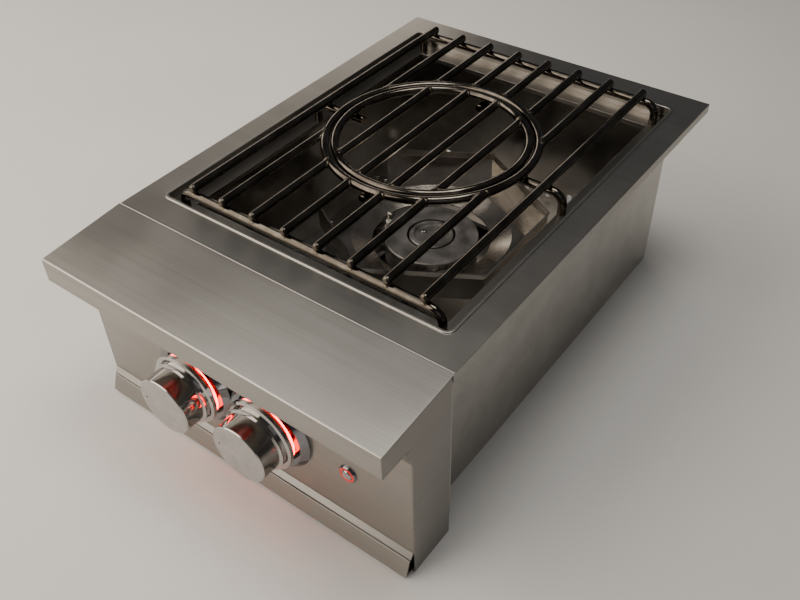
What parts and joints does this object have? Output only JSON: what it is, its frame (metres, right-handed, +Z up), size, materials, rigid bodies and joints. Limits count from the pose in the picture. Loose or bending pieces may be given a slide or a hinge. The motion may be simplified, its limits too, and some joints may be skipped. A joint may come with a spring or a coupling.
{
  "type": "built-in side burner",
  "caption": "Drop-in gas side burner: steel surround with a rod grate and lift-out round centre, ring burner in a hexagonal guard, front control box with knobs and a sliding drip tray.",
  "frame": {"origin": "centre of the footprint, at the height of the feet", "axes": "+X to the user's right, +Y away from the user, +Z up; the controls face -Y"},
  "size_m": [0.464, 0.703, 0.2684],
  "materials": {
    "satin_stainless": "satin brushed",
    "polished_stainless": "bright annealed",
    "mill_stainless": "mill finish",
    "tube_stainless": "drawn tube",
    "rod_stainless": "polished rod, heat toned",
    "bright_steel": "bright turned",
    "cast_burner": "fine cast and machined",
    "ceramic": "glazed white insulator",
    "manifold_steel": "dark coated pipe",
    "brass": "machined",
    "aluminium_tube": "drawn tube",
    "valve_aluminium": "die cast",
    "chrome": "polished",
    "knob_metal": "satin plated cast metal",
    "red_lens": "frosted, lit red from behind"
  },
  "bodies": {
    "root": {"burner_deck": "polished_stainless", "burner_stands": "mill_stainless", "burner_strap": "mill_stainless", "cap_screws": "bright_steel", "control_panel": "satin_stainless", "control_rear_panel": "mill_stainless", "control_side_left": "satin_stainless", "control_side_right": "satin_stainless", "deck_screws": "bright_steel", "firebox_floor": "mill_stainless", "firebox_front_wall": "polished_stainless", "firebox_left_wall": "polished_stainless", "firebox_rear_wall": "polished_stainless", "firebox_right_wall": "polished_stainless", "front_hood": "satin_stainless", "gas_inlet_fitting": "brass", "gas_manifold": "manifold_steel", "grate_ledge": "polished_stainless", "igniter_bracket": "mill_stainless", "igniter_electrode": "ceramic", "inner_burner_body": "cast_burner", "inner_burner_cap": "cast_burner", "inner_venturi": "tube_stainless", "left_bezel": "chrome", "left_feed_tube": "aluminium_tube", "left_light_ring": "red_lens", "left_valve_body": "valve_aluminium", "manifold_brackets": "mill_stainless", "outer_burner_body": "cast_burner", "outer_burner_cap": "cast_burner", "outer_venturi": "tube_stainless", "right_bezel": "chrome", "right_feed_tube": "aluminium_tube", "right_light_ring": "red_lens", "right_valve_body": "valve_aluminium", "switch_body": "chrome", "switch_light_ring": "red_lens", "switch_nut": "bright_steel", "top_surround": "satin_stainless", "tray_rails": "mill_stainless", "wind_guard": "polished_stainless"},
    "main_grate": {"grate_full_rods": "rod_stainless", "grate_front_rods": "rod_stainless", "grate_rear_rods": "rod_stainless", "grate_outer_ring": "rod_stainless", "grate_cross_front": "rod_stainless", "grate_cross_rear": "rod_stainless", "grate_arms": "rod_stainless", "ring_pegs": "rod_stainless"},
    "centre_grate": {"centre_ring": "rod_stainless", "centre_rods": "rod_stainless"},
    "left_plunger": {"left_valve_plunger": "brass"},
    "left_knob_turned": {"left_valve_stem": "bright_steel", "left_knob": "knob_metal"},
    "right_plunger": {"right_valve_plunger": "brass"},
    "right_knob_turned": {"right_valve_stem": "bright_steel", "right_knob": "knob_metal"},
    "light_switch_button": {"light_button": "knob_metal"},
    "tray": {"drip_tray": "mill_stainless", "tray_front": "satin_stainless"}
  },
  "joints": [
    {"name": "grate_lift", "type": "slide", "parent": "root", "child": "main_grate", "axis": [0, 0, 1], "range_m": [0, 0.16]},
    {"name": "centre_grate_lift", "type": "slide", "parent": "main_grate", "child": "centre_grate", "axis": [0, 0, 1], "range_m": [0, 0.12]},
    {"name": "left_knob_push", "type": "slide", "parent": "root", "child": "left_plunger", "axis": [0, 1, 0], "range_m": [0, 0.0035], "stiffness_N_per_m": 500, "springref_m": -0.004},
    {"name": "left_knob_turn", "type": "hinge", "parent": "left_plunger", "child": "left_knob_turned", "pos_m": [-0.06707, -0.3, 0.11], "axis": [0, -1, 0], "range_deg": [-90, 120]},
    {"name": "right_knob_push", "type": "slide", "parent": "root", "child": "right_plunger", "axis": [0, 1, 0], "range_m": [0, 0.0035], "stiffness_N_per_m": 500, "springref_m": -0.004},
    {"name": "right_knob_turn", "type": "hinge", "parent": "right_plunger", "child": "right_knob_turned", "pos_m": [0.04507, -0.3, 0.11], "axis": [0, -1, 0], "range_deg": [-90, 120]},
    {"name": "light_button_push", "type": "slide", "parent": "root", "child": "light_switch_button", "axis": [0, 1, 0], "range_m": [0, 0.002], "stiffness_N_per_m": 800, "springref_m": -0.002},
    {"name": "tray_slide", "type": "slide", "parent": "root", "child": "tray", "axis": [0, -1, 0], "range_m": [0, 0.42]}
  ]
}
